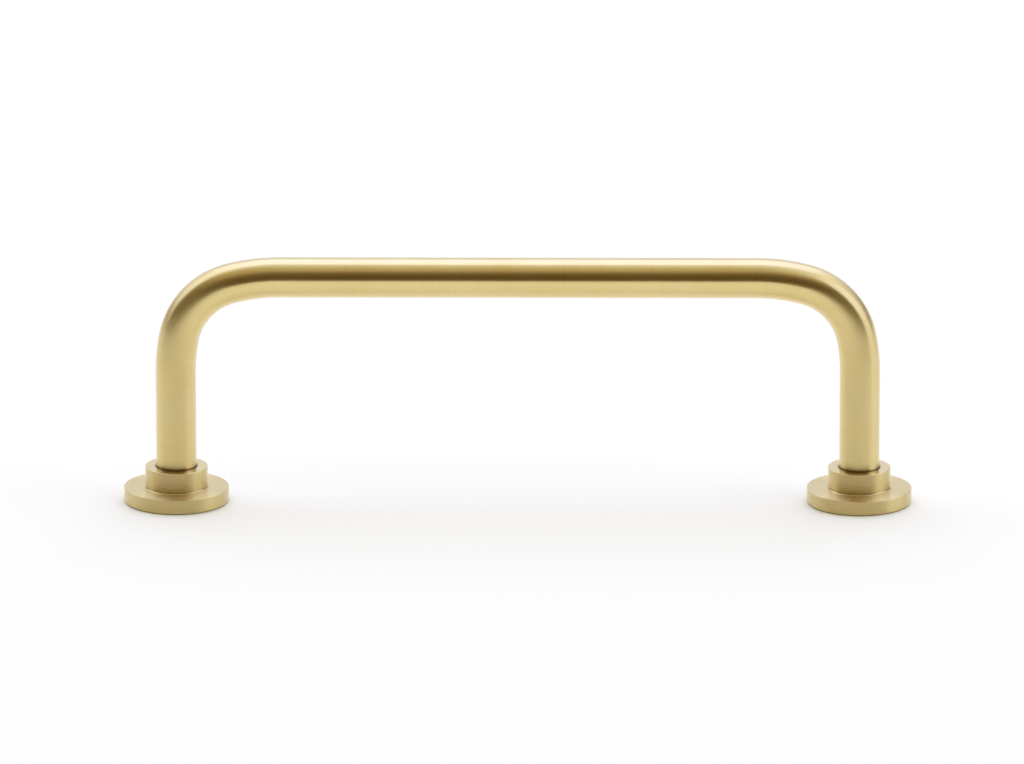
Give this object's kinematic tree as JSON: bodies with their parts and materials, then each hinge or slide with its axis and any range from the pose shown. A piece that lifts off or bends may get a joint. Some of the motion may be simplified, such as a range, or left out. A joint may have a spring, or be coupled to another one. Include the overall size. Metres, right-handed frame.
{
  "type": "arch pull",
  "caption": "Arch-shaped cabinet and drawer pull: a round brass bar bent at each end and seated in stepped round rosettes, fixed by screws from behind.",
  "frame": {"origin": "on the drawer face, midway between the fixing screws", "axes": "+X along the pull from the left rosette to the right one, +Z away from the drawer face towards the bar, +Y across the pull"},
  "size_m": [0.1172, 0.0156, 0.0375],
  "materials": {
    "bar_brass": "satin, fine grain round the bar",
    "rosette_brass": "satin, fine turning marks"
  },
  "bodies": {
    "root": {"bar": "bar_brass", "left_rosette": "rosette_brass", "right_rosette": "rosette_brass"}
  },
  "joints": []
}
